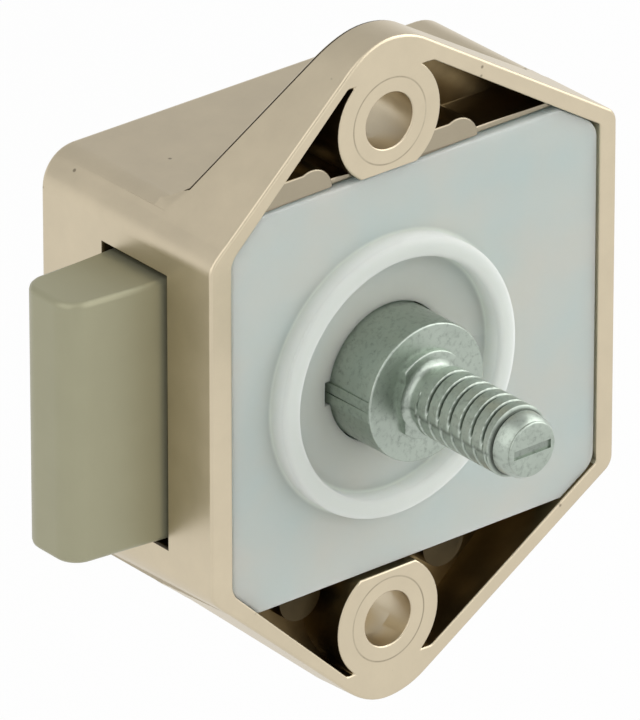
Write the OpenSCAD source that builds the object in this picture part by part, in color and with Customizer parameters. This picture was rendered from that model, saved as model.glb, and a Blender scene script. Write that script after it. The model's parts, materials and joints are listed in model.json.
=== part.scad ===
// Rim-mounted pushbutton lock for a cabinet door, drawn locked: the bolt is out and the plunger is in.
// Millimetres. X runs away from the bolt, Y runs into the case from its mounting face, Z is up.
// The origin is on the plunger's axis, in the plane of the mounting face.

/* [Case] */
// Distance from the plunger's axis to the wall that the bolt comes out of
backset = 19; // [18:0.5:26]
// Wall that the bolt comes out of
bolt_wall = 2.25; // [1.8:0.05:2.6]
// Wall opposite the bolt
rear_wall = 1.8; // [1.4:0.1:2.6]
// Top, bottom and back walls
wall = 2; // [1.5:0.1:2.6]
// Rounding of the box's long edges
corner_r = 3.3; // [2.6:0.1:4.2]
// Rounding of the edges of the back
back_edge_r = 0.6; // [0.4:0.1:1.2]

/* [Ears] */
// Distance between the two screw holes
hole_spacing = 46.2; // [44:0.2:56]
// Screw hole
screw_hole_d = 5; // [3.5:0.1:5.6]
// Boss round each screw hole
boss_d = 10.9; // [9.6:0.1:12]
// Metal left between a screw hole and the cover plate
boss_web = 2.2; // [1.6:0.1:3]
// Metal outside the boss at the tip of each ear
ear_rim = 2.05; // [1.4:0.05:2.6]
// Thickness of the rim along the ears' slanted edges
rim_t = 1.5; // [1.2:0.1:2]
// Depth of the ears at their tips
ear_tip_d = 3.9; // [3.4:0.1:5]
// Depth of the ears where their sloping backs meet the box
ear_root_d = 7.7; // [6:0.1:9]
// Hollow rounding where an ear's back meets the box
ear_fillet_r = 2; // [1:0.1:3]
// Floor of the pockets beside each boss
pocket_floor = 1.5; // [1:0.1:2]
// How far the pockets reach past the screw hole's centre
pocket_reach = 4.1; // [3.5:0.1:4.4]
// Rounding of the two side corners of the front that lie away from the bolt
side_corner_r = 1.6; // [0.8:0.1:2.4]
// Distance of the cast posts beside each boss from the plunger's axis
post_x = 7.8; // [7.4:0.1:9.5]
// Cast post beside each boss
post_d = 4.4; // [3.6:0.1:5]

/* [Cover plate] */
// Thickness of the cover plate
plate_t = 2; // [1.4:0.1:2.6]
// How far the plate lies behind the mounting face
plate_recess = 0.2; // [0.1:0.05:0.6]
// Gap between the plate and the rim
plate_gap = 0.15; // [0.05:0.05:0.3]
// Rounding of the plate's corners away from the bolt
plate_corner_r = 2.2; // [0.6:0.1:3]
// How far the plate stops short of the lower boss
plate_short = 0.35; // [0:0.05:0.6]
// Outside of the locating ring, for the bore in the door
ring_d = 25; // [22:0.5:32]
// Wall of the locating ring
ring_t = 1.75; // [1.2:0.05:2.6]
// Height of the locating ring above the plate
ring_rise = 1.9; // [0.8:0.1:3]

/* [Plunger] */
// Collar of the plunger
collar_d = 12.3; // [11.6:0.1:14]
// How far the collar stands out of the mounting face when locked
collar_out = 4.85; // [2.5:0.05:7]
// Gap between the collar and the cover plate
collar_gap = 0.15; // [0.1:0.05:0.4]
// Width of the key ribs along the collar
key_w = 1.9; // [1.2:0.1:3]
// Height of the key ribs
key_rise = 0.45; // [0.3:0.05:0.8]
// Thread of the stud
stud_d = 6.35; // [5:0.05:8]
// Length of the stud in front of the collar
stud_len = 13.5; // [11:0.1:20]
// Raised step round the foot of the stud
step_d = 7.8; // [7:0.1:9]
// Height of the step
step_h = 0.5; // [0.3:0.05:1]
// Distance between the two flats of the step
step_flats = 5.4; // [5.2:0.1:6.6]
// Plain neck between collar and thread
neck_d = 5.2; // [4.4:0.1:5.8]
// Length of the plain neck
neck_len = 2.2; // [1.8:0.1:4]
// How far the plunger springs out when released
travel = 9; // [7:0.1:11]
// How far the plunger has to be pushed past its locked place to release it
over_travel = 1; // [0.6:0.1:1.4]

/* [Bolt] */
// Height of the bolt
bolt_h = 24; // [21:0.2:27]
// Thickness of the bolt
bolt_t = 7.6; // [6:0.1:9]
// Distance of the bolt's front face from the mounting face
bolt_front = 6.2; // [5.4:0.1:7]
// How far the bolt moves
bolt_throw = 10; // [8.5:0.1:11]
// Rounding of the bolt's nose
nose_r = 2.2; // [1:0.1:2.6]
// How far inside the wall the nose lies when the bolt is drawn in
nose_inset = 0.85; // [0:0.05:1.2]
// How much the bolt's front face falls back towards its nose
nose_taper = 0.8; // [0:0.1:1.5]
// Gap between the bolt and the sides of its slot
bolt_gap = 0.3; // [0.2:0.05:0.5]
// Gap above and below the bolt in its slot
bolt_end_gap = 0.5; // [0.3:0.05:0.8]
// Cheek on each side of the bolt, with its inclined slot
cheek_t = 3.8; // [3.2:0.1:4.6]
// Metal left beyond each end of an inclined slot
slot_end_wall = 1.7; // [1:0.1:2.4]
// Bridge that joins the cheeks behind the plunger
bridge_t = 3; // [2:0.1:4]

/* [Drive and catch] */
// Drive pin
pin_d = 3; // [2.4:0.1:3.4]
// Gap across the inclined slot, over the pin
pin_gap = 0.2; // [0.1:0.05:0.3]
// Wire of the spring
spring_wire = 0.7; // [0.5:0.05:0.9]
// Turns of the spring
spring_turns = 11; // [8:1:13]
// Wire of the catch
catch_wire_d = 1; // [0.8:0.1:1.2]
// Room above and below the bolt's cheeks for the catch and the guide rails
catch_room = 3.9; // [2.6:0.1:4.6]
// Depth of the heart-shaped groove in the bolt's cheek
groove_depth = 1.6; // [1.2:0.1:2]

/* [Hidden] */
$fn = 64;
eps = 0.02;
slip = 0.3;       // running gap between pieces that slide
cut = 1;          // how far a cutter reaches past the face it starts from

// Depths, from the mounting face to the back
seat_y = plate_recess + plate_t;
plate_runner = 0.7;
back_runner = 0.4;
cheek_y0 = seat_y + plate_runner + slip;
cheek_len = travel + over_travel + pin_d + pin_gap + 2*slot_end_wall;
cheek_y1 = cheek_y0 + cheek_len;
back_in = cheek_y1 + slip + back_runner;
case_d = back_in + wall;
pin_y = cheek_y1 - slot_end_wall - (pin_d + pin_gap)/2 - over_travel;

// Heights
cavity_hz = bolt_h/2 + catch_room;
box_hz = cavity_hz + wall;
hole_z = hole_spacing/2;
plate_hz = hole_z - screw_hole_d/2 - boss_web;
boss_cut_z = plate_hz + plate_gap;
side_drop = 2.3;
side_z = box_hz - side_drop;
ear_r = boss_d/2 + ear_rim;
tip_z = hole_z + ear_r;
ear_slope = (ear_root_d - ear_tip_d)/(tip_z - box_hz);
pocket_z = hole_z + pocket_reach;
post_rise = 0.9;
post_z = plate_hz + post_rise;

// The bolt, along its travel
ratio = bolt_throw/travel;
bolt_over = over_travel*ratio;
collar_r = collar_d/2;
left_in = -backset + bolt_wall;
nose_x = -backset - bolt_throw + nose_inset;
head_gap = 0.25;
head_rear = left_in + bolt_over + head_gap;
bridge_x = collar_r + key_rise + slip + bolt_over;
bolt_rear = bridge_x + bridge_t;
rear_room = 1.9;
right_in = bolt_rear + bolt_throw + rear_room;
right_out = right_in + rear_wall;

// The plunger's inner end
barrel_r = -(head_rear + bolt_throw) - slip;
barrel_wall = 1.5;
bore_r = barrel_r - barrel_wall;
collar_to_pin = 4;
collar_in = pin_y - collar_to_pin;
lug_wall = 1.3;
lug_d = pin_d + 2*lug_wall;
lug_hz = bolt_h/2 - cheek_t - slip;
barrel_end = pin_y + lug_d/2;
spring_pocket = 6.5;
spring_floor = collar_in - spring_pocket;
spring_gap = 0.35;
spring_r = bore_r - spring_gap - spring_wire/2;
spigot_gap = 0.2;
spigot_r = spring_r - spring_wire/2 - spigot_gap;
spigot_reach = 3;
spigot_len = back_in - barrel_end - over_travel - slip + spigot_reach;
pin_web = 0.8;
pin_z0 = bore_r + pin_web;
ring_r = ring_d/2;

// The heart-shaped groove, on the line that the catch's tip follows
lane_gap = 0.2;
lane_r = catch_wire_d/2 + lane_gap;
groove_end_wall = 1.2;
lane_x1 = bolt_rear - groove_end_wall - lane_r;
catch_x = lane_x1 - bolt_over;
lane_x0 = catch_x - bolt_throw - lane_gap/2;
catch_inset = 4.4;
catch_y = cheek_y0 + catch_inset;
lane_hy = 2.3;
catch_rise = 1.4;
catch_z = bolt_h/2 + catch_rise;
catch_root_inset = 2.6;
catch_root_x = right_in - catch_root_inset;

// A 2D outline in X and Z, drawn out from y0 to y1
module along_y(y0, y1) {
    translate([0, y1, 0]) rotate([90, 0, 0]) linear_extrude(y1 - y0) children();
}

// A shape drawn round its own Z axis, turned to stand out of the mounting face
module outward() {
    rotate([90, 0, 0]) children();
}

// The smooth outline round a ring of circles [x, y, r], listed anticlockwise. Its straight stretches lie
// a hair inside the tangents, so that each crosses the arcs at its ends
function tangent_normal(a, b) =
    let (d = [b[0] - a[0], b[1] - a[1]], len = norm(d), u = d/len, c = (a[2] - b[2])/len, s = sqrt(1 - c*c))
    [c*u[0] + s*u[1], c*u[1] - s*u[0]];

module round_outline(ring) {
    n = len(ring);
    hair = 0.003;
    polygon([for (i = [0:n - 1], end = [0, 1])
        let (a = ring[i], b = ring[(i + 1) % n], t = tangent_normal(a, b), c = end == 0 ? a : b,
            r = max(c[2] - hair, 0))
        if (end == 1 || a[2] > 0) [c[0] + r*t[0], c[1] + r*t[1]]]);
    for (c = ring) if (c[2] > 0) translate([c[0], c[1]]) circle(c[2]);
}

function rectangle_ring(x0, x1, hy, r) =
    [[x0 + r, -hy + r, r], [x1 - r, -hy + r, r], [x1 - r, hy - r, r], [x0 + r, hy - r, r]];

// The six-sided front: side corners and ears, drawn in by the wall each side has. The corners next
// to the bolt follow the box's rounded edges, and lie a hair inside them so that the surfaces cross
function front_ring(left, right, slant, least = 0.4) =
    let (hair = 0.03, rl = max(corner_r - slant, least),
        xl = -backset + left + rl + hair, zl = box_hz - corner_r - hair,
        sharp = max(side_corner_r - slant, 0.4), ear = [0, hole_z, ear_r - slant],
        n = tangent_normal([right_out - right - sharp, side_z, sharp], ear),
        rr = max(sharp, least), xr = right_out - right - rr, zr = side_z - (rr - sharp)*(1 - n[0])/n[1])
    [[xl, -zl, rl], [0, -hole_z, ear_r - slant], [xr, -zr, rr], [xr, zr, rr], ear, [xl, zl, rl]];

// Opening inside the rim, closed at the tips of the ears
module rim_inside(gap = 0, least = 0.4) {
    intersection() {
        round_outline(front_ring(bolt_wall + gap, rear_wall + gap, rim_t + gap, least));
        translate([-backset, -pocket_z]) square([backset + right_out, 2*pocket_z]);
    }
}

module both_ends() {
    children();
    mirror([0, 0, 1]) children();
}

// The box, with its back edges rounded
module box_outside() {
    r = back_edge_r;
    lap = 0.01;
    y = case_d - r - lap;
    ring = rectangle_ring(-backset, right_out, box_hz, corner_r);
    along_y(0, case_d - r) round_outline(ring);
    along_y(0, case_d) round_outline(rectangle_ring(-backset + r, right_out - r, box_hz - r, corner_r - r));
    for (c = ring) translate([c[0], y, c[1]]) rotate([90, 0, 0])
        rotate_extrude() translate([corner_r - r - lap, 0]) circle(r - lap);
    for (z = [-1, 1]) translate([-backset + corner_r, y, z*(box_hz - r - lap)]) rotate([0, 90, 0])
        cylinder(r = r, h = right_out + backset - 2*corner_r);
    for (x = [-backset + r + lap, right_out - r - lap]) translate([x, y, -box_hz + corner_r])
        cylinder(r = r, h = 2*(box_hz - corner_r));
}

// A shape in Y and Z, drawn out over the case's width
module along_x() {
    translate([-backset, 0, 0]) rotate([90, 0, 90]) linear_extrude(backset + right_out) children();
}

// An ear in Y and Z from a height z0 up, with its sloping back drawn in by a floor
function ear_back(z) = ear_root_d - ear_slope*(z - box_hz);

module ear_section(z0, front = 0, floor = 0) {
    z1 = tip_z + cut;
    polygon([[front, z0], [ear_back(z0) - floor, z0], [ear_back(z1) - floor, z1], [front, z1]]);
}

// Hollow rounding between an ear's sloping back and the top of the box
module ear_fillet_section() {
    grip = 0.5;
    lap = 0.01;
    r = ear_fillet_r;
    lean = atan(ear_slope);
    centre = [ear_root_d - ear_slope*r + r/cos(lean), box_hz + r];
    difference() {
        polygon([centre, centre - (r + grip)*[cos(lean), sin(lean)], [ear_root_d - grip, box_hz - grip],
            [centre[0], box_hz - grip]]);
        translate(centre) circle(r + lap);
    }
}

module ears() {
    intersection() {
        along_y(0, ear_root_d + 2*ear_fillet_r) round_outline(front_ring(0, 0, 0));
        both_ends() {
            along_x() ear_section(box_hz - corner_r - wall/2);
            along_x() ear_fillet_section();
        }
    }
}

// Boss of a screw hole, cut straight along the edge of the cover plate
module ear_boss() {
    intersection() {
        along_y(0, ear_root_d) intersection() {
            translate([0, hole_z]) circle(d = boss_d);
            translate([-boss_d, boss_cut_z]) square([2*boss_d, boss_d*2]);
        }
        along_x() ear_section(box_hz, 0, eps);
    }
}

// Cast posts beside a boss. The upper ones run on to the rim and to the boss, and a low fence follows
// the upper edge of the plate
module plate_posts(front, upper) {
    fence_set = 0.35;
    fence_t = 0.6;
    z = upper ? boss_cut_z : post_z;
    fill_z = z + post_d*0.45;
    end = ear_back(boss_cut_z) - pocket_floor + eps;
    along_y(front, end) intersection() {
        union() {
            for (x = [-post_x, post_x]) translate([x, z]) circle(d = post_d);
            if (upper) translate([-backset, 0]) square([backset - post_x, fill_z]);
            if (upper) square([post_x, fill_z]);
        }
        translate([-backset, boss_cut_z]) square([backset + right_out, post_d]);
        round_outline(front_ring(bolt_wall - eps, rear_wall - eps, rim_t - eps));
    }
    if (upper) along_y(front + fence_set, end) intersection() {
        translate([-backset, boss_cut_z]) square([backset + right_out, fence_t]);
        round_outline(front_ring(bolt_wall - eps, rear_wall - eps, rim_t - eps));
    }
}

// Guides inside the box: rails above and below the cheeks, runners behind them
module bolt_guides() {
    rail_t = 2.5;
    rail_z = bolt_h/2 + slip;
    rail_y = pin_y - rail_t/2;
    runner_w = 2;
    runner_z = bolt_h/2 - cheek_t/2 - runner_w/2;
    length = right_in - left_in + 2*eps;
    translate([left_in - eps, rail_y, rail_z]) cube([length, rail_t, cavity_hz - rail_z + eps]);
    translate([left_in - eps, back_in - back_runner, runner_z]) cube([length, back_runner + eps, runner_w]);
}

module spring_spigot() {
    lead = 0.6;
    translate([0, back_in + eps, 0]) outward() {
        cylinder(r = spigot_r, h = spigot_len - lead + eps);
        translate([0, 0, spigot_len - lead]) cylinder(r1 = spigot_r, r2 = spigot_r - lead, h = lead + eps);
    }
}

// Die-cast case
module case() {
    bore_step = 0.12;
    bore_step_y = 2.5;
    upper_post_set = 0.35;
    upper_post_y = plate_recess + upper_post_set;
    lower_post_y = seat_y;
    slot_hz = bolt_h/2 + bolt_end_gap;
    color("#c9bea3") difference() {
        union() {
            difference() {
                union() {
                    box_outside();
                    ears();
                }
                along_y(-cut, seat_y) rim_inside();
                both_ends() intersection() {
                    along_y(-cut, ear_root_d) rim_inside();
                    along_x() ear_section(boss_cut_z, -cut, pocket_floor);
                }
                along_y(-cut, back_in)
                    round_outline(rectangle_ring(left_in, right_in, cavity_hz, corner_r - wall));
            }
            both_ends() {
                ear_boss();
                bolt_guides();
            }
            plate_posts(upper_post_y, true);
            mirror([0, 0, 1]) plate_posts(lower_post_y, false);
            spring_spigot();
        }
        both_ends() translate([0, -cut, hole_z]) rotate([-90, 0, 0]) {
            cylinder(d = screw_hole_d, h = ear_root_d + 2*cut);
            translate([0, 0, bore_step_y + cut]) cylinder(r = screw_hole_d/2 + bore_step, h = ear_root_d);
        }
        translate([-backset - cut, bolt_front - bolt_gap, -slot_hz])
            cube([bolt_wall + 2*cut, bolt_t + 2*bolt_gap, 2*slot_hz]);
        translate([catch_root_x, catch_y, cavity_hz - eps]) cylinder(d = catch_wire_d, h = wall*0.6 + eps);
    }
}

// Moulded cover plate with its locating ring
module cover_plate() {
    ring_round = min(0.45, ring_t/3, ring_rise/2);
    hole_r = collar_r + collar_gap;
    runner_w = 2;
    runner_z = bolt_h/2 - cheek_t/2 - runner_w/2;
    runner_inset = 2;
    runner_x0 = left_in + runner_inset;
    color("#c6cfcb", 0.9) difference() {
        union() {
            along_y(plate_recess, seat_y) intersection() {
                rim_inside(plate_gap, plate_corner_r);
                translate([-backset, plate_short - plate_hz])
                    square([backset + right_out, 2*plate_hz - plate_short]);
            }
            translate([0, plate_recess + eps, 0]) outward() rotate_extrude() {
                translate([ring_r - ring_t, 0]) square([ring_t, ring_rise - ring_round + eps]);
                translate([ring_r - ring_t + ring_round, 0]) square([ring_t - 2*ring_round, ring_rise + eps]);
                for (x = [ring_r - ring_t + ring_round, ring_r - ring_round])
                    translate([x, ring_rise - ring_round + eps]) circle(ring_round);
            }
            both_ends() translate([runner_x0, seat_y - eps, runner_z])
                cube([right_in - runner_inset - runner_x0, plate_runner + eps, runner_w]);
        }
        translate([0, -ring_rise - cut, 0]) rotate([-90, 0, 0])
            cylinder(r = hole_r, h = ring_rise + 2*seat_y + cut);
        translate([-hole_r - key_rise, -cut, -key_w/2 - collar_gap])
            cube([2*(hole_r + key_rise), seat_y + 2*cut, key_w + 2*collar_gap]);
    }
}

// Cast plunger: keyed collar, stud and the barrel that holds the spring and the drive pins
module plunger() {
    edge = 0.3;
    root = 0.6;
    step_y = collar_out + step_h;
    tip_d = stud_d*0.78;
    tip_cone = 1.7;
    tip_land = 0.4;
    slot_w = 0.8;
    slot_depth = 0.35;
    stud_end = collar_out + stud_len;
    color("#98a69d") difference() {
        union() {
            outward() rotate_extrude() polygon([
                [0, -collar_in], [collar_r - edge, -collar_in], [collar_r, -collar_in + edge],
                [collar_r, collar_out - edge], [collar_r - edge, collar_out],
                [neck_d/2, collar_out], [neck_d/2, collar_out + neck_len - edge],
                [stud_d/2, collar_out + neck_len], [stud_d/2, stud_end - tip_land - tip_cone],
                [tip_d/2, stud_end - tip_land], [tip_d/2, stud_end], [0, stud_end]]);
            intersection() {
                outward() rotate_extrude() polygon([[0, 0], [step_d/2, 0], [step_d/2, step_y],
                    [neck_d/2 + root, step_y], [neck_d/2 - eps, step_y + root], [0, step_y + root]]);
                translate([-step_flats/2, -step_y - neck_len, -step_d])
                    cube([step_flats, step_y + neck_len, 2*step_d]);
            }
            outward() translate([0, 0, -barrel_end]) cylinder(r = barrel_r, h = barrel_end - collar_in + eps);
            translate([0, pin_y, -lug_hz]) cylinder(d = lug_d, h = 2*lug_hz);
            translate([-collar_r - key_rise, -collar_out + edge, -key_w/2])
                cube([2*(collar_r + key_rise), collar_out + collar_in - 2*edge, key_w]);
        }
        translate([0, spring_floor, 0]) rotate([-90, 0, 0]) cylinder(r = bore_r, h = case_d);
        both_ends() translate([0, pin_y, pin_z0]) cylinder(d = pin_d, h = bolt_h);
        translate([-stud_d*0.31, -stud_end - cut, -slot_w/2]) cube([stud_d*0.62, cut + slot_depth, slot_w]);
    }
}

// Two pins pressed into the plunger's lugs
module drive_pins() {
    lead = 0.3;
    end_gap = 0.2;
    length = bolt_h/2 - pin_z0 - end_gap;
    color("#b9bcbd") both_ends() translate([0, pin_y, pin_z0]) rotate_extrude() polygon([
        [0, 0], [pin_d/2, 0], [pin_d/2, length - lead], [pin_d/2 - lead, length], [0, length]]);
}

// Nose of the bolt, in X and Y, reaching into the frame behind it
module bolt_head_outline() {
    y0 = bolt_front;
    y1 = bolt_front + bolt_t;
    shoulder_inset = 0.4;
    shoulder = -backset + shoulder_inset;
    root = head_rear + cheek_t/2;
    round_outline([[nose_x + nose_r, y0 + nose_taper + nose_r, nose_r], [shoulder, y0, 0], [root, y0, 0],
        [root, y1, 0], [nose_x + nose_r, y1 - nose_r, nose_r]]);
}

// Inclined slot that the drive pin runs in, in X and Y
module drive_slot() {
    r = (pin_d + pin_gap)/2;
    round_outline([[bolt_over, pin_y + over_travel, r], [-bolt_throw, pin_y - travel, r]]);
}

// Groove round a heart-shaped island: its point is where the catch waits while the bolt is drawn in,
// and the notch in its blunt end holds the catch while the bolt is out
module heart_groove() {
    spread = atan2(lane_hy, lane_x1 - lane_x0);
    x0 = lane_x0 + lane_r/sin(spread);
    x1 = lane_x1 - lane_r;
    hy = (x1 - x0)*tan(spread);
    notch_x = catch_x - lane_r;
    notch_hy = lane_r*0.7;
    notch_flare = 0.1;
    difference() {
        round_outline([[lane_x0, catch_y, lane_r], [lane_x1, catch_y - lane_hy, lane_r],
            [lane_x1, catch_y + lane_hy, lane_r]]);
        translate([0, catch_y]) polygon([[x0, 0], [x1, -hy], [x1, -lane_r - notch_flare],
            [notch_x, -notch_hy], [notch_x, notch_hy], [x1, lane_r + notch_flare], [x1, hy]]);
    }
}

// Moulded dead bolt: solid nose, two cheeks and the bridge behind the plunger
module bolt() {
    hz = bolt_h/2;
    window_hz = hz - cheek_t;
    color("#a5a391") difference() {
        union() {
            translate([0, 0, -hz]) linear_extrude(bolt_h) bolt_head_outline();
            translate([head_rear, cheek_y0, -hz]) cube([bolt_rear - head_rear, cheek_len, bolt_h]);
        }
        translate([head_rear, cheek_y0 - cut, -window_hz])
            cube([bridge_x - head_rear, cheek_len + 2*cut, 2*window_hz]);
        translate([0, 0, -hz - cut]) linear_extrude(bolt_h + 2*cut) drive_slot();
        translate([0, 0, hz - groove_depth]) linear_extrude(groove_depth + cut) heart_groove();
    }
}

// Round wire swept along a helix with closed end turns
module plunger_spring() {
    seat = 0.03;
    steps = 20;
    sides = 8;
    y0 = spring_floor + seat + spring_wire/2;
    y1 = back_in - seat - spring_wire/2;
    flat = 1;
    closed = spring_wire*1.06;
    free_turns = spring_turns - 2*flat;
    pitch = (y1 - y0 - 2*flat*closed)/free_turns;
    rise = function (t) t < flat ? closed*t
        : t < spring_turns - flat ? closed*flat + pitch*(t - flat)
        : closed*flat + pitch*free_turns + closed*(t - spring_turns + flat);
    rings = spring_turns*steps;
    points = [for (i = [0:rings], j = [0:sides - 1])
        let (a = 360*i/steps, b = 360*j/sides, r = spring_r + spring_wire/2*cos(b))
        [r*cos(a), y0 + rise(i/steps) + spring_wire/2*sin(b), r*sin(a)]];
    faces = concat([[for (j = [0:sides - 1]) j]],
        [for (i = [0:rings - 1], j = [0:sides - 1])
            let (k = (j + 1) % sides) [i*sides + j, (i + 1)*sides + j, (i + 1)*sides + k, i*sides + k]],
        [[for (j = [sides - 1:-1:0]) rings*sides + j]]);
    color("#c2c5c6") polyhedron(points, faces);
}

// Bent catch: root pressed into the top wall, tip in the heart-shaped groove
module catch_wire() {
    r = catch_wire_d/2;
    root_top = cavity_hz + wall*0.5;
    tip_gap = 0.4;
    lower_end = bolt_h/2 - groove_depth + tip_gap;
    color("#d0cfca") {
        translate([catch_root_x, catch_y, catch_z]) cylinder(r = r, h = root_top - catch_z);
        translate([catch_x, catch_y, catch_z]) rotate([0, 90, 0]) cylinder(r = r, h = catch_root_x - catch_x);
        translate([catch_x, catch_y, lower_end]) cylinder(r = r, h = catch_z - lower_end);
        for (x = [catch_x, catch_root_x]) translate([x, catch_y, catch_z]) sphere(r);
    }
}

case();
cover_plate();
plunger();
drive_pins();
bolt();
plunger_spring();
catch_wire();
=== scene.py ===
"""Pushbutton cabinet lock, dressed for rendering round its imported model.

Run as a script. Named sizes are millimetres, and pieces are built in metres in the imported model's frame:
X away from the bolt, Y into the case from its mounting face, Z up, with the origin on the plunger's axis.
"""
import json
import math
from functools import partial

import bmesh
import bpy
from mathutils import Matrix, Vector


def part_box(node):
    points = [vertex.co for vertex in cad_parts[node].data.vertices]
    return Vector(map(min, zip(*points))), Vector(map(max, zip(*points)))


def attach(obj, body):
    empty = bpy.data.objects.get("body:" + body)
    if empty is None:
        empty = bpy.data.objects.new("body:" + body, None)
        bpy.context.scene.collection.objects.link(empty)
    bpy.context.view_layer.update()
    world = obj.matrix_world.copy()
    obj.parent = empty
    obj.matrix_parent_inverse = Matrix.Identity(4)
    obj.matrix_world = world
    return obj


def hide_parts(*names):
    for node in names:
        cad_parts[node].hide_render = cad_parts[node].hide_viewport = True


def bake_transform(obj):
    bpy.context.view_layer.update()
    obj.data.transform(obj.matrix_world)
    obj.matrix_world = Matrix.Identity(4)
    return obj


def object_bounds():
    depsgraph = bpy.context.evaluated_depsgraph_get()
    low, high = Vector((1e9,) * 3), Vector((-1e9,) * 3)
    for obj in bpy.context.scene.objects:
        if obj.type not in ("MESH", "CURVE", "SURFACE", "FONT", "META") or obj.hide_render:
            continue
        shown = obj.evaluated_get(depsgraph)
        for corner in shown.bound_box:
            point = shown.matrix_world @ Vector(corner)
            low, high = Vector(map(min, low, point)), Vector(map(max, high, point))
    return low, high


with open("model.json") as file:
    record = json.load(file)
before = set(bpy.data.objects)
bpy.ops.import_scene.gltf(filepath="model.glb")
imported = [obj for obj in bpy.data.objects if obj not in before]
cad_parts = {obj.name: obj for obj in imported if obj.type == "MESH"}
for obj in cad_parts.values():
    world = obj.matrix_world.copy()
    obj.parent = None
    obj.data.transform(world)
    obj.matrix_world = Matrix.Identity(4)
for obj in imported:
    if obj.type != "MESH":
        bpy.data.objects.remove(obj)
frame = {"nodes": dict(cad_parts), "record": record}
CAD_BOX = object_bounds()

bl_info = {
    "name": "Pushbutton cabinet lock",
    "version": (1, 0, 0),
    "blender": (4, 5, 0),
    "location": "View3D > Sidebar > Lock",
    "description": "Builds the visible pieces of a rim-mounted pushbutton cabinet lock",
    "category": "Object",
}

MM = 0.001


def box_mm(name):
    """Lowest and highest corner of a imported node, in millimetres."""
    low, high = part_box(name)
    return Vector(low)/MM, Vector(high)/MM


CASE_LOW, CASE_HIGH = box_mm("case")
PLATE_LOW, PLATE_HIGH = box_mm("cover_plate")
SPRING_LOW, SPRING_HIGH = box_mm("plunger_spring")
PIN_LOW, PIN_HIGH = box_mm("drive_pins")
MOUNTS = {mount["name"]: mount for mount in frame["record"]["mounts"]}
HOLE_Z = MOUNTS["screw_holes"]["dims"]["spacing_y_mm"]/2
HOLE_R = MOUNTS["screw_holes"]["dims"]["hole_r_mm"]
STUD_R = MOUNTS["stud"]["dims"]["r_mm"]
THREAD_LENGTH = MOUNTS["stud"]["dims"]["length_mm"]
THREAD_MIDDLE = MOUNTS["stud"]["pos_m"][1]/MM

# The six-sided front of the case: centres and radii of its corners, in X and Z
BOX_TOP = 17.9
EAR_R = CASE_HIGH.z - HOLE_Z
LEFT_CORNER_R = 3.3
RIGHT_CORNER_R = 1.6
RIGHT_CORNER_Z = 15.6
FRONT_CORNERS = [corner for side in (-1, 1) for corner in (
    (0, side*HOLE_Z, EAR_R),
    (CASE_LOW.x + LEFT_CORNER_R, side*(BOX_TOP - LEFT_CORNER_R), LEFT_CORNER_R),
    (CASE_HIGH.x - RIGHT_CORNER_R, side*RIGHT_CORNER_Z, RIGHT_CORNER_R))]

# The ears: how far back they reach at the box and at their tips, and where their pockets begin
EAR_ROOT = 7.7
EAR_TIP = 3.9
FILLET_END = 9.2
POCKET_Z = 18.55
POCKET_END = 27.2
UPPER_POST_Y = 1.5  # the posts' faces lie in front of these, and the pockets' floors behind
LOWER_POST_Y = 2.4
BOLT_SLOT_Y = (5.9, 14.1)
BOLT_SLOT_HZ = 12.5
SCRIBED_R = 3.85

# The ring on the cover plate
RING_IN = 10.75
RING_OUT = 12.5

# The plunger: radii, and places along its axis from the mounting face
COLLAR_R = 6.15
COLLAR_FRONT = -4.85
COLLAR_BACK = 11.5
COLLAR_EDGE = 0.16
RIB_X = 6.6
RIB_HZ = 0.95
STEP_R = 3.9
STEP_FLAT_X = 2.7
STEP_FRONT = -5.35
NECK_R = 2.6
ROOT_R = 3.2
THREAD_BACK = THREAD_MIDDLE + THREAD_LENGTH/2
THREAD_FRONT = THREAD_MIDDLE - THREAD_LENGTH/2
SHOULDER_Y = -16.5
LAND_R = 2.82
LAND_END = -17.75
TIP_R = 2.45
STUD_END = box_mm("plunger")[0].y
SLOT_W = 0.8
SLOT_DEPTH = 0.2
BARREL_R = 5.09
BARREL_END = 18.3
SPRING_BORE_R = 3.59
SPRING_FLOOR = 5.0
LUG_R = 2.8
LUG_HZ = 7.9
PIN_Y = (PIN_LOW.y + PIN_HIGH.y)/2


# Helpers

def linear(code):
    """A colour written as an sRGB hex code, as the linear colour that a shader takes."""
    parts = [int(code[i:i + 2], 16)/255 for i in (1, 3, 5)]
    return tuple(c/12.92 if c <= 0.04045 else ((c + 0.055)/1.055)**2.4 for c in parts) + (1.0,)


def add_node(tree, kind, inputs=None, **settings):
    """One node with its settings and its inputs, each a constant or the socket that feeds it."""
    made = tree.nodes.new(kind)
    for name, value in settings.items():
        setattr(made, name, value)
    for name, value in (inputs or {}).items():
        if isinstance(value, bpy.types.NodeSocket):
            tree.links.new(value, made.inputs[name])
        else:
            made.inputs[name].default_value = value
    return made


def per_mm(size):
    """Texture scale that gives a pattern of this size in millimetres."""
    return 1/(size*MM)


def new_material(name):
    """A material with an empty tree, and the function that adds nodes to it."""
    material = bpy.data.materials.new(name)
    material.use_nodes = True
    material.node_tree.nodes.clear()
    return material, partial(add_node, material.node_tree)


def shade(colour, factor):
    """A colour made darker or lighter, or tinted where the factor has three parts."""
    parts = factor if isinstance(factor, tuple) else (factor,)*3
    return (*(min(c*f, 1) for c, f in zip(colour, parts)), 1)


def new_piece(name, mesh):
    """A mesh as an object at the origin."""
    piece = bpy.data.objects.new(name, mesh)
    bpy.context.scene.collection.objects.link(piece)
    return piece


def piece_from(name, shell):
    """A bmesh as an object at the origin."""
    mesh = bpy.data.meshes.new(name)
    shell.to_mesh(mesh)
    shell.free()
    return new_piece(name, mesh)


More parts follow.
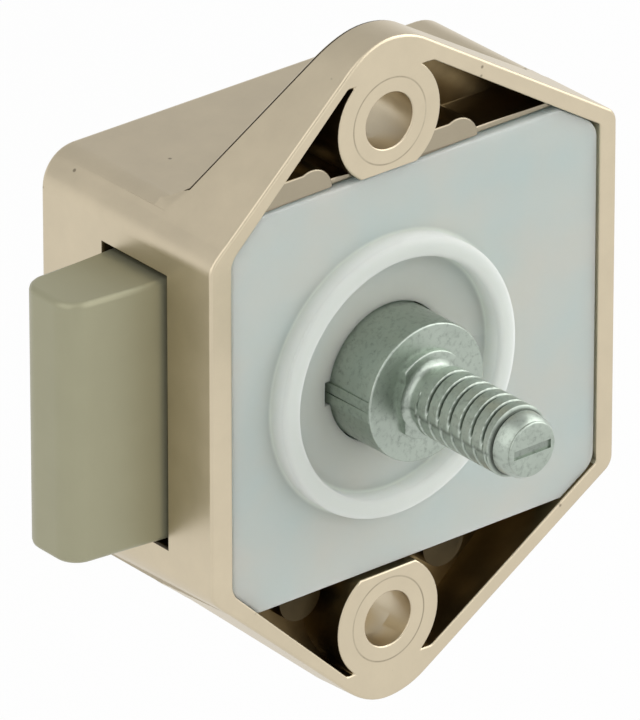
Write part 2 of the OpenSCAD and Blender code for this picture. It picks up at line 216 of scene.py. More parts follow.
def settle(piece):
    """Turns a piece with modifiers into a plain mesh."""
    graph = bpy.context.evaluated_depsgraph_get()
    graph.update()
    mesh = bpy.data.meshes.new_from_object(piece.evaluated_get(graph))
    piece.modifiers.clear()
    old = piece.data
    piece.data = mesh
    bpy.data.meshes.remove(old)
    mesh.name = piece.name


def smooth_by_angle(piece, degrees):
    """Smooth shading that keeps edges sharper than the angle and leaves flat faces flat."""
    piece.data.shade_smooth()
    piece.data.set_sharp_from_angle(angle=math.radians(degrees))
    weighted = piece.modifiers.new("flat faces", "WEIGHTED_NORMAL")
    weighted.keep_sharp = True
    settle(piece)


def softened_copy(node, name, rounding, segments=3, shift=None):
    """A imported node's form with edges rounded, as a casting's or a moulding's are.

    rounding takes an edge and gives its radius in millimetres, or 0 to leave it sharp;
    shift takes a corner and gives how far it moves, before the rounding.
    """
    shell = bmesh.new()
    shell.from_mesh(frame["nodes"][node].data)
    bmesh.ops.remove_doubles(shell, verts=shell.verts, dist=0.0008*MM)
    bmesh.ops.dissolve_limit(shell, angle_limit=math.radians(0.6), verts=shell.verts, edges=shell.edges)
    for vert in shell.verts if shift else ():
        vert.co += shift(vert.co/MM)*MM
    weight = shell.edges.layers.float.new("bevel_weight_edge")
    radii = {edge: rounding(edge) for edge in shell.edges if len(edge.link_faces) == 2}
    widest = max(radii.values())
    for edge, radius in radii.items():
        edge[weight] = radius/widest
    piece = piece_from(name, shell)
    bevel = piece.modifiers.new("rounding", "BEVEL")
    bevel.width = widest*MM
    bevel.segments = segments
    bevel.limit_method = "WEIGHT"
    bevel.use_clamp_overlap = False
    settle(piece)
    smooth_by_angle(piece, 35)
    return piece


def edge_middle(edge):
    """Middle of an edge, in millimetres."""
    return (edge.verts[0].co + edge.verts[1].co)/(2*MM)


def edge_lies_at(edge, axis, place, slack=0.02):
    """Whether both ends of an edge lie in a plane across an axis, in millimetres."""
    return all(abs(vert.co[axis]/MM - place) < slack for vert in edge.verts)


def is_sharp(edge, degrees=50):
    """Whether the faces on an edge turn by more than the angle."""
    return edge.calc_face_angle(0) > math.radians(degrees)


def on_front_outline(point, normal, slack=0.5):
    """Whether a face with this normal lies on the outside of the six-sided front."""
    across = Vector((normal.x, normal.z))
    if across.length < 0.5:
        return False
    across.normalize()
    reach = max(x*across.x + z*across.y + r for x, z, r in FRONT_CORNERS)
    return point.x*across.x + point.z*across.y > reach - slack - 0.15


def tangent_ways():
    """Directions square to the lines that touch two corners of the six-sided front."""
    for i, (x, z, r) in enumerate(FRONT_CORNERS):
        for other_x, other_z, other_r in FRONT_CORNERS[:i]:
            span = Vector((other_x - x, other_z - z))
            lean = math.acos((r - other_r)/span.length)
            for side in (-lean, lean):
                yield (Matrix.Rotation(side, 2) @ span).normalized()


def nearest_outline(point):
    """Gap from a point to the outside of the six-sided front, and the outward direction there, in X and Z."""
    ways = list(tangent_ways())
    ways += [Vector((point.x - x, point.z - z)).normalized() for x, z, r in FRONT_CORNERS]
    reach = [max(x*way.x + z*way.y + r for x, z, r in FRONT_CORNERS) for way in ways]
    gaps = [far - point.x*way.x - point.z*way.y for far, way in zip(reach, ways)]
    gap = min(gaps)
    return gap, ways[gaps.index(gap)]


def ear_back(z):
    """Where the sloping back of the ears lies at a height, along Y."""
    return EAR_ROOT - (EAR_ROOT - EAR_TIP)*(abs(z) - BOX_TOP)/(CASE_HIGH.z - BOX_TOP)


def arc(centre, radius, start, end, parts=4):
    """Points of an arc round a centre, from one angle to another in degrees."""
    turns = [math.radians(start + (end - start)*i/parts) for i in range(parts + 1)]
    return [(centre[0] + radius*math.cos(t), centre[1] + radius*math.sin(t)) for t in turns]


def lathe(profile, steps):
    """A solid turned about the Y axis from points (radius, y); an end that isn't on the axis stays open."""
    shell = bmesh.new()
    rings = []
    for radius, y in profile:
        if radius == 0:
            rings.append([shell.verts.new((0, y*MM, 0))])
        else:
            turn = [2*math.pi*i/steps for i in range(steps)]
            rings.append([shell.verts.new((radius*math.cos(a)*MM, y*MM, radius*math.sin(a)*MM)) for a in turn])
    for first, second in zip(rings, rings[1:]):
        for i in range(steps):
            k = (i + 1) % steps
            corners = [first[i % len(first)], first[k % len(first)], second[k % len(second)], second[i % len(second)]]
            shell.faces.new(list(dict.fromkeys(corners)))
    bmesh.ops.recalc_face_normals(shell, faces=shell.faces)
    return shell


def close_with_slot(shell, y, length, width, depth):
    """Closes the open end of a turned shell by a flat with a slot across it."""
    rim = [edge for edge in shell.edges if edge.is_boundary]
    corners = [(x*length/2*MM, z*width/2*MM) for x, z in ((-1, -1), (1, -1), (1, 1), (-1, 1))]
    top = [shell.verts.new((x, y*MM, z)) for x, z in corners]
    floor = [shell.verts.new((x, (y + depth)*MM, z)) for x, z in corners]
    loop = [shell.edges.new((top[i - 1], top[i])) for i in range(4)]
    bmesh.ops.triangle_fill(shell, edges=rim + loop, use_beauty=True)
    for i in range(4):
        shell.faces.new((top[i - 1], top[i], floor[i], floor[i - 1]))
    shell.faces.new(floor)
    bmesh.ops.recalc_face_normals(shell, faces=shell.faces)


def merge_shells(first, *others):
    """Adds closed shells to the first one."""
    for other in others:
        spare = bpy.data.meshes.new("spare")
        other.to_mesh(spare)
        other.free()
        first.from_mesh(spare)
        bpy.data.meshes.remove(spare)
    return first


def new_tree(name, inputs, on_mesh):
    """A geometry tree and the function that adds nodes to it.

    It has a socket for each named input, and one for a mesh where it works on one.
    """
    tree = bpy.data.node_groups.new(name, "GeometryNodeTree")
    if on_mesh:
        tree.interface.new_socket("Geometry", in_out="INPUT", socket_type="NodeSocketGeometry")
    for label, value in inputs.items():
        kind = "NodeSocketMaterial" if isinstance(value, bpy.types.Material) else "NodeSocketFloat"
        tree.interface.new_socket(label, in_out="INPUT", socket_type=kind)
    tree.interface.new_socket("Geometry", in_out="OUTPUT", socket_type="NodeSocketGeometry")
    return tree, partial(add_node, tree)


def run_tree(piece, tree, given, inputs, shape):
    """Ends a geometry tree with its shape and material, and runs it on a piece, which is left a plain mesh."""
    plain = add_node(tree, "GeometryNodeRealizeInstances", {0: shape})
    painted = add_node(tree, "GeometryNodeSetMaterial", {"Geometry": plain.outputs[0], "Material": given["Material"]})
    add_node(tree, "NodeGroupOutput", {0: painted.outputs[0]})
    modifier = piece.modifiers.new(tree.name, "NODES")
    modifier.node_group = tree
    for socket in tree.interface.items_tree:
        if socket.name in inputs:
            modifier[socket.identifier] = inputs[socket.name]
    settle(piece)


def finish_piece(piece, body, slot, *nodes):
    """Lets a piece ride on its body and hides the nodes that it stands for; the finish it is given is not used."""
    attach(piece, body)
    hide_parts(*nodes)


# Settings

def colour_setting(name, description, code):
    """A colour that a user would change."""
    return bpy.props.FloatVectorProperty(
        name=name, description=description, subtype="COLOR", size=4, min=0, max=1, default=linear(code))


def size_setting(name, description, default, low, high):
    """A size in millimetres that a user would change."""
    return bpy.props.FloatProperty(name=name, description=description + ", mm", default=default, min=low, max=high)


class LockSizes(bpy.types.PropertyGroup):
    """Sizes that a user would change, in millimetres"""
    rim_edge: size_setting("Rim edge", "Rounding of the outer edge of the case's front", 0.25, 0.1, 1)
    case_edge: size_setting("Case edge", "Rounding of the case's other edges", 0.16, 0.05, 0.3)
    pocket_edge: size_setting("Pocket edge", "Rounding of the narrow ends of the pockets", 0.3, 0.05, 0.4)
    slot_edge: size_setting("Slot edge", "Rounding of the slot that the bolt comes out of", 0.2, 0.05, 0.4)
    ear_edge: size_setting("Ear edge", "Rounding of the edge round the back of the ears", 0.4, 0, 0.5)
    ear_draw: size_setting("Ear draw", "How far the slanted sides beside the bolt taper towards the front", 0.5, 0, 0.6)
    plate_edge: size_setting("Plate edge", "Rounding of the cover plate's edges", 0.2, 0.05, 0.3)
    bolt_edge: size_setting("Bolt edge", "Rounding of the bolt's edges", 0.55, 0.1, 0.9)
    thread_pitch: size_setting("Thread pitch", "Distance between the threads of the stud", 1.4, 0.8, 2)
    thread_depth: size_setting("Thread depth", "Depth of the thread's groove", 0.38, 0.1, 0.6)


class LockColours(bpy.types.PropertyGroup):
    """Colours that a user would change"""
    nickel: colour_setting("Nickel", "Satin nickel plate of the case", "#D4C7AD")
    # Darker than the nickel: painted shade in the pockets, and at 0.3 of it painted shadow in narrow gaps
    pocket: colour_setting("Pocket", "Painted shade in the pockets beside the screw bosses", "#8E7B58")
    plate: colour_setting("Plate", "Milky plastic of the cover plate", "#C1C6C0")
    ring: colour_setting("Ring", "Paler plastic of the locating ring", "#CED3CC")
    zinc: colour_setting("Zinc", "Bare zinc of the plunger", "#B4BEB3")
    bolt: colour_setting("Bolt", "Moulded plastic of the bolt", "#A3A084")


# Materials

def satin_nickel(colour, name):
    """Nickel plate on a zinc casting: warm satin metal, faintly mottled, with a few pin-holes.

    A fine circle is scribed round each screw hole.
    """
    material, add = new_material(name)
    place = add("ShaderNodeTexCoord").outputs["Object"]
    cloud = add("ShaderNodeTexNoise", {
        "Vector": place, "Scale": per_mm(5), "Detail": 7, "Roughness": 0.7}).outputs["Fac"]
    grain = add("ShaderNodeTexNoise", {"Vector": place, "Scale": per_mm(0.35), "Detail": 2}).outputs["Fac"]
    tone = add("ShaderNodeMix", {
        "Factor": cloud, "A": shade(colour, 0.86), "B": shade(colour, 1.05)}, data_type="RGBA")
    # Pin-holes about 0.3 mm across, in a third of the cells
    cells = add("ShaderNodeTexVoronoi", {"Vector": place, "Scale": per_mm(3)}).outputs
    hole = add("ShaderNodeMapRange", {
        "Value": cells["Distance"], "From Min": 0.035, "From Max": 0.07, "To Min": 0.6, "To Max": 0.0}).outputs["Result"]
    luck = add("ShaderNodeSeparateColor", {"Color": cells["Color"]}).outputs["Red"]
    some = add("ShaderNodeMath", {0: luck, 1: 0.33}, operation="LESS_THAN").outputs[0]
    hole = add("ShaderNodeMath", {0: hole, 1: some}, operation="MULTIPLY").outputs[0]
    # Scribed circles, 0.12 mm wide, on the front alone
    axes = add("ShaderNodeSeparateXYZ", {0: place}).outputs
    height = add("ShaderNodeMath", {0: axes["Z"]}, operation="ABSOLUTE").outputs[0]
    height = add("ShaderNodeMath", {0: height, 1: HOLE_Z*MM}, operation="SUBTRACT").outputs[0]
    flat = add("ShaderNodeCombineXYZ", {"X": axes["X"], "Z": height}).outputs[0]
    radius = add("ShaderNodeVectorMath", {0: flat}, operation="LENGTH").outputs["Value"]
    off = add("ShaderNodeMath", {0: radius, 1: SCRIBED_R*MM}, operation="SUBTRACT").outputs[0]
    off = add("ShaderNodeMath", {0: off}, operation="ABSOLUTE").outputs[0]
    line = add("ShaderNodeMapRange", {
        "Value": off, "From Min": 0.03*MM, "From Max": 0.1*MM, "To Min": 1.0, "To Max": 0.0}).outputs["Result"]
    front = add("ShaderNodeMath", {0: axes["Y"], 1: 0.1*MM}, operation="LESS_THAN").outputs[0]
    worn = add("ShaderNodeMapRange", {
        "Value": cloud, "From Min": 0.35, "From Max": 0.6, "To Min": 0.12, "To Max": 0.5}).outputs["Result"]
    line = add("ShaderNodeMath", {0: line, 1: front}, operation="MULTIPLY").outputs[0]
    stain = add("ShaderNodeMath", {0: line, 1: worn}, operation="MULTIPLY").outputs[0]
    stain = add("ShaderNodeMath", {0: stain, 1: hole}, operation="MAXIMUM").outputs[0]
    dull = add("ShaderNodeMix", {
        "Factor": stain, "A": tone.outputs["Result"], "B": linear("#3A2F1E")}, data_type="RGBA")
    sheen = add("ShaderNodeMapRange", {"Value": cloud, "To Min": 0.3, "To Max": 0.42})
    depth = add("ShaderNodeMath", {0: grain, 1: stain}, operation="SUBTRACT").outputs[0]
    bump = add("ShaderNodeBump", {"Height": depth, "Strength": 0.12, "Distance": 0.03*MM})
    shader = add("ShaderNodeBsdfPrincipled", {
        "Base Color": dull.outputs["Result"], "Metallic": 1.0, "Roughness": sheen.outputs["Result"],
        "Normal": bump.outputs["Normal"]})
    add("ShaderNodeOutputMaterial", {"Surface": shader.outputs[0]})
    return material


def pocket_casting_in_painted_shade(colour, name):
    """Die-cast zinc deep in the pockets, darkened as painted shade: brown, glossy and streaky."""
    material, add = new_material(name)
    place = add("ShaderNodeTexCoord").outputs["Object"]
    cloud = add("ShaderNodeTexNoise", {"Vector": place, "Scale": per_mm(3), "Detail": 3}).outputs["Fac"]
    tone = add("ShaderNodeMix", {"Factor": cloud, "A": shade(colour, 0.45), "B": colour}, data_type="RGBA")
    bump = add("ShaderNodeBump", {"Height": cloud, "Strength": 0.3, "Distance": 0.2*MM})
    shader = add("ShaderNodeBsdfPrincipled", {
        "Base Color": tone.outputs["Result"], "Metallic": 1.0, "Roughness": 0.36, "Normal": bump.outputs["Normal"]})
    add("ShaderNodeOutputMaterial", {"Surface": shader.outputs[0]})
    return material


def milky_plastic(colour, ring_colour):
    """Natural moulded polypropylene: milky, faintly blue and pink in clouds, paler where the ring is thick."""
    material, add = new_material("milky moulded polypropylene")
    place = add("ShaderNodeTexCoord").outputs["Object"]
    cloud = add("ShaderNodeTexNoise", {"Vector": place, "Scale": per_mm(9), "Detail": 2}).outputs["Fac"]
    veil = add("ShaderNodeMapRange", {"Value": cloud, "From Min": 0.3, "From Max": 0.7}).outputs["Result"]
    tint = add("ShaderNodeMix", {
        "Factor": veil, "A": shade(colour, (0.93, 1.0, 1.03)), "B": shade(colour, (1.04, 1.0, 0.98))}, data_type="RGBA")
    axes = add("ShaderNodeSeparateXYZ", {0: place}).outputs
    flat = add("ShaderNodeCombineXYZ", {"X": axes["X"], "Z": axes["Z"]}).outputs[0]
    radius = add("ShaderNodeVectorMath", {0: flat}, operation="LENGTH").outputs["Value"]
    # The plastic is thinner inside the ring, where the dark works show through a little
    inside = add("ShaderNodeMapRange", {
        "Value": radius, "From Min": (RING_IN - 4)*MM, "From Max": RING_IN*MM, "To Min": 1.0, "To Max": 0.0},
        interpolation_type="SMOOTHSTEP").outputs["Result"]
    thin = add("ShaderNodeMix", {
        "Factor": inside, "A": tint.outputs["Result"], "B": shade(colour, (0.97, 0.95, 0.92))}, data_type="RGBA")
    rise = add("ShaderNodeMapRange", {
        "Value": radius, "From Min": (RING_IN - 0.4)*MM, "From Max": (RING_IN - 0.02)*MM},
        interpolation_type="SMOOTHSTEP").outputs["Result"]
    fall = add("ShaderNodeMapRange", {
        "Value": radius, "From Min": (RING_OUT + 0.02)*MM, "From Max": (RING_OUT + 0.4)*MM, "To Min": 1.0, "To Max": 0.0},
        interpolation_type="SMOOTHSTEP").outputs["Result"]
    ring = add("ShaderNodeMath", {0: rise, 1: fall}, operation="MULTIPLY").outputs[0]
    # The ring's sides are painted 1.25 times paler than its front, a painted light that makes up for the shade on them
    side = add("ShaderNodeMapRange", {
        "Value": axes["Y"], "From Min": PLATE_LOW.y*MM, "From Max": (PLATE_LOW.y + 0.6)*MM}).outputs["Result"]
    ring_tone_with_painted_light = add("ShaderNodeMix", {
        "Factor": side, "A": ring_colour, "B": shade(ring_colour, 1.25)}, data_type="RGBA")
    tone = add("ShaderNodeMix", {
        "Factor": ring, "A": thin.outputs["Result"], "B": ring_tone_with_painted_light.outputs["Result"]}, data_type="RGBA")
    forward = add("ShaderNodeVectorTransform", {
        "Vector": (0, -1, 0)}, vector_type="NORMAL", convert_from="OBJECT", convert_to="WORLD").outputs[0]
    upright = add("ShaderNodeNewGeometry").outputs["Normal"]
    evened = add("ShaderNodeMath", {0: ring, 1: 0.8}, operation="MULTIPLY").outputs[0]
    normal = add("ShaderNodeMix", {"Factor": evened, "A": upright, "B": forward}, data_type="VECTOR")
    normal = add("ShaderNodeVectorMath", {0: normal.outputs["Result"]}, operation="NORMALIZE").outputs[0]
    shader = add("ShaderNodeBsdfPrincipled", {
        "Base Color": tone.outputs["Result"], "Roughness": 0.5, "Specular IOR Level": 0.3, "Normal": normal,
        "Subsurface Weight": 1.0, "Subsurface Radius": (1.0, 1.05, 1.1), "Subsurface Scale": 3.5*MM})
    add("ShaderNodeOutputMaterial", {"Surface": shader.outputs[0]})
    return material


def bare_zinc(colour, name):
    """Die-cast zinc left bare: cool grey metal, finely speckled, with a dark line where the mould's halves met and
    painted shade in the thread's groove.
    """
    material, add = new_material(name)
    place = add("ShaderNodeTexCoord").outputs["Object"]
    speck = add("ShaderNodeTexNoise", {
        "Vector": place, "Scale": per_mm(0.5), "Detail": 5, "Roughness": 0.7}).outputs["Fac"]
    cloud = add("ShaderNodeTexNoise", {"Vector": place, "Scale": per_mm(3), "Detail": 3}).outputs["Fac"]
    dark = add("ShaderNodeMapRange", {
        "Value": speck, "From Min": 0.3, "From Max": 0.5, "To Min": 0.7, "To Max": 1.0}).outputs["Result"]
    fade = add("ShaderNodeMix", {"Factor": cloud, "A": shade(colour, 0.8), "B": colour}, data_type="RGBA")
    tone = add("ShaderNodeMix", {
        "Factor": 1.0, "A": fade.outputs["Result"], "B": dark}, data_type="RGBA", blend_type="MULTIPLY")
    axes = add("ShaderNodeSeparateXYZ", {0: place}).outputs
    off = add("ShaderNodeMath", {0: axes["Z"], 1: 0.25*MM}, operation="ADD").outputs[0]
    off = add("ShaderNodeMath", {0: off}, operation="ABSOLUTE").outputs[0]
    seam = add("ShaderNodeMapRange", {
        "Value": off, "From Min": 0.02*MM, "From Max": 0.3*MM, "To Min": 0.8, "To Max": 0.0}).outputs["Result"]
    on_stud = add("ShaderNodeMapRange", {
        "Value": axes["Y"], "From Min": LAND_END*MM, "From Max": SHOULDER_Y*MM}).outputs["Result"]
    before = add("ShaderNodeMath", {0: axes["Y"], 1: STEP_FRONT*MM}, operation="LESS_THAN").outputs[0]
    for part in (on_stud, before, cloud):
        seam = add("ShaderNodeMath", {0: seam, 1: part}, operation="MULTIPLY").outputs[0]
    # Painted shade darkens the thread's groove
    flat = add("ShaderNodeCombineXYZ", {"X": axes["X"], "Z": axes["Z"]}).outputs[0]
    radius = add("ShaderNodeVectorMath", {0: flat}, operation="LENGTH").outputs["Value"]
    painted_shade_and_seam = add("ShaderNodeMapRange", {
        "Value": radius, "From Min": (STUD_R - 0.3)*MM, "From Max": (STUD_R - 0.06)*MM,
        "To Min": 0.85, "To Max": 0.0}).outputs["Result"]
    after = add("ShaderNodeMath", {
        0: axes["Y"], 1: (THREAD_BACK - 0.15)*MM}, operation="LESS_THAN").outputs[0]
    until = add("ShaderNodeMath", {
        0: axes["Y"], 1: (SHOULDER_Y - 0.06)*MM}, operation="GREATER_THAN").outputs[0]
    for part in (after, until):
        painted_shade_and_seam = add("ShaderNodeMath", {0: painted_shade_and_seam, 1: part}, operation="MULTIPLY").outputs[0]
    # The seam's real dark line joins the painted shade here
    painted_shade_and_seam = add("ShaderNodeMath", {0: painted_shade_and_seam, 1: seam}, operation="MAXIMUM").outputs[0]
    tone = add("ShaderNodeMix", {
        "Factor": painted_shade_and_seam, "A": tone.outputs["Result"], "B": linear("#2E332B")}, data_type="RGBA")
    sheen = add("ShaderNodeMapRange", {"Value": speck, "To Min": 0.46, "To Max": 0.26})
    bump = add("ShaderNodeBump", {"Height": speck, "Strength": 0.25, "Distance": 0.06*MM})
    shader = add("ShaderNodeBsdfPrincipled", {
        "Base Color": tone.outputs["Result"], "Metallic": 1.0, "Roughness": sheen.outputs["Result"],
        "Normal": bump.outputs["Normal"]})
    add("ShaderNodeOutputMaterial", {"Surface": shader.outputs[0]})
    return material


def nickel_grey_acetal(colour):
    """Moulded acetal coloured like nickel: an even satin sheen with a trace of mould texture."""
    material, add = new_material("moulded acetal in nickel grey")
    place = add("ShaderNodeTexCoord").outputs["Object"]
    cloud = add("ShaderNodeTexNoise", {"Vector": place, "Scale": per_mm(5), "Detail": 3}).outputs["Fac"]
    grain = add("ShaderNodeTexNoise", {"Vector": place, "Scale": per_mm(0.3), "Detail": 2}).outputs["Fac"]
    tone = add("ShaderNodeMix", {"Factor": cloud, "A": shade(colour, 0.9), "B": colour}, data_type="RGBA")
    bump = add("ShaderNodeBump", {"Height": grain, "Strength": 0.1, "Distance": 0.02*MM})
    shader = add("ShaderNodeBsdfPrincipled", {
        "Base Color": tone.outputs["Result"], "Metallic": 0.35, "Roughness": 0.38, "Normal": bump.outputs["Normal"]})
    add("ShaderNodeOutputMaterial", {"Surface": shader.outputs[0]})
    return material


def drawn_wire():
    """Drawn spring wire: bright steel, its sheen broken by drawing marks."""
    material, add = new_material("bright drawn steel wire")
    place = add("ShaderNodeTexCoord").outputs["Object"]
    grain = add("ShaderNodeTexNoise", {"Vector": place, "Scale": per_mm(0.4), "Detail": 3}).outputs["Fac"]
    sheen = add("ShaderNodeMapRange", {"Value": grain, "To Min": 0.18, "To Max": 0.36})
    shader = add("ShaderNodeBsdfPrincipled", {
        "Base Color": linear("#B9BBBC"), "Metallic": 1.0, "Roughness": sheen.outputs["Result"]})
    add("ShaderNodeOutputMaterial", {"Surface": shader.outputs[0]})
    return material


def ground_steel():
    """Ground steel pin: smooth and bright, with grinding marks round it."""
    material, add = new_material("ground steel")
    place = add("ShaderNodeTexCoord").outputs["Object"]
    long = add("ShaderNodeMapping", {"Vector": place, "Scale": (0.1, 0.1, 1)}).outputs[0]
    grain = add("ShaderNodeTexNoise", {"Vector": long, "Scale": per_mm(0.25), "Detail": 2}).outputs["Fac"]
    sheen = add("ShaderNodeMapRange", {"Value": grain, "To Min": 0.16, "To Max": 0.3})
    shader = add("ShaderNodeBsdfPrincipled", {
        "Base Color": linear("#B4B6B8"), "Metallic": 1.0, "Roughness": sheen.outputs["Result"]})
    add("ShaderNodeOutputMaterial", {"Surface": shader.outputs[0]})
    return material


# Pieces

class LOCK_OT_case(bpy.types.Operator):
    """Die-cast case with rounded edges, with painted shade in its pockets, on its posts, round the bolt's slot and
    along the back of its ears
    """
    bl_idname = "lock.case"
    bl_label = "Case"

    PLATED, POCKET, POST, BARE = range(4)

    def execute(self, context):
        sizes, colours = context.scene.lock_sizes, context.scene.lock_colours

        def rounding(edge):
            middle = edge_middle(edge)
            if self.at_bolt_slot(middle) and edge_lies_at(edge, 0, CASE_LOW.x):
                return sizes.slot_edge
            if edge_lies_at(edge, 2, middle.z) and abs(abs(middle.z) - POCKET_END) < 0.1 and middle.y > 0.3:
                return sizes.pocket_edge if edge.calc_face_angle(0) > 0.5 else 0
            if not is_sharp(edge):
                return 0
            outer = any(on_front_outline(middle, face.normal, sizes.ear_draw) for face in edge.link_faces)
            if edge_lies_at(edge, 1, 0):
                return sizes.rim_edge if outer else sizes.case_edge
            if outer:
                at_back = all(abs(vert.co.y/MM - ear_back(vert.co.z/MM)) < 0.12 for vert in edge.verts)
                return sizes.ear_edge if at_back and abs(middle.z) > BOX_TOP + 0.2 else 0
            return sizes.case_edge if middle.y < 1.2 else 0

        def shift(point):
            """Tapers the two slanted sides beside the bolt towards the front, as a mould draws them."""
            gap, way = nearest_outline(point)
            taper = 1 - point.y/FILLET_END
            if gap > 0.1 or way.x > 0 or taper < 0:
                return Vector()
            return Vector((way.x, 0, way.y))*(-sizes.ear_draw*taper*(2*way.x*way.y)**2)

        piece = softened_copy("case", "case_casting", rounding, shift=shift)
        # Finishes: plated nickel, then painted shade in the pockets, a darker nickel as painted shade on the posts, and
        # painted shadow in narrow gaps
        for material in (
                satin_nickel(colours.nickel, "satin nickel plate on die-cast zinc"),
                pocket_casting_in_painted_shade(colours.pocket, "die casting in the pockets in painted shade"),
                satin_nickel(shade(colours.nickel, 0.6), "nickel plate on the cast posts in painted shade"),
                pocket_casting_in_painted_shade(shade(colours.pocket, 0.3), "die casting in narrow gaps in painted shadow")):
            piece.data.materials.append(material)
        for face in piece.data.polygons:
            face.material_index = self.finish_at(face.center/MM, face.normal)
        finish_piece(piece, "case", "nickel_plated_zinc", "case")
        return {"FINISHED"}

    def at_bolt_slot(self, point, slack=0.6):
        """Whether a point of the left wall lies at the slot that the bolt comes out of."""
        front, back = BOLT_SLOT_Y
        inside = front - slack < point.y < back + slack and abs(point.z) < BOLT_SLOT_HZ + slack
        return inside and point.x < CASE_LOW.x + 2.5

    def finish_at(self, point, normal):
        """Which of the case's finishes, plated or painted shade, a face has."""
        # Faces round the bolt's slot get painted shadow, standing in for the dark gap round the bolt
        if self.at_bolt_slot(point) and abs(normal.x) < 0.98:
            return self.BARE
        # The first strip of the rounding round the back of the ears gets painted shadow, a dark line along the crease
        at_ear_back = abs(point.z) > BOX_TOP and abs(point.y - ear_back(point.z)) < 0.45
        if at_ear_back and 0.15 < normal.y < 0.45 and nearest_outline(point)[0] < 0.7:
            return self.BARE
        if abs(point.z) < POCKET_Z - 0.2 or not 0.25 < point.y < ear_back(point.z) - 0.5:
            return self.PLATED
        in_bore = math.hypot(point.x, abs(point.z) - HOLE_Z) < HOLE_R + 0.4
        if in_bore or on_front_outline(point, normal):
            return self.PLATED
        upper = point.z > 0
        # Post faces get painted shade: a darker nickel on the upper posts, painted shadow on the lower ones; the rest
        # of the pockets is darkened as painted shade
        if normal.y < -0.6 and point.y < (UPPER_POST_Y if upper else LOWER_POST_Y):
            return self.POST if upper else self.BARE
        return self.POCKET


class LOCK_OT_cover_plate(bpy.types.Operator):
    """Moulded cover plate with its locating ring"""
    bl_idname = "lock.cover_plate"
    bl_label = "Cover plate"

    def execute(self, context):
        sizes, colours = context.scene.lock_sizes, context.scene.lock_colours

        def rounding(edge):
            middle = edge_middle(edge)
            outside = math.hypot(middle.x, middle.z) > RING_OUT + 1
            return sizes.plate_edge if outside and is_sharp(edge) and middle.y < PLATE_HIGH.y - 0.6 else 0

        piece = softened_copy("cover_plate", "cover_plate_moulding", rounding)
        piece.data.materials.append(milky_plastic(colours.plate, colours.ring))
        finish_piece(piece, "case", "translucent_plastic", "cover_plate")
        return {"FINISHED"}


class LOCK_OT_bolt(bpy.types.Operator):
    """Moulded dead bolt with rounded edges"""
    bl_idname = "lock.bolt"
    bl_label = "Bolt"

    def execute(self, context):
        sizes, colours = context.scene.lock_sizes, context.scene.lock_colours
        nose_end = -15.5

        def rounding(edge):
            return sizes.bolt_edge if is_sharp(edge, 35) and edge_middle(edge).x < nose_end else 0

        piece = softened_copy("bolt", "bolt_moulding", rounding)
        piece.data.materials.append(nickel_grey_acetal(colours.bolt))
        finish_piece(piece, "bolt", "bolt_plastic", "bolt")
        return {"FINISHED"}


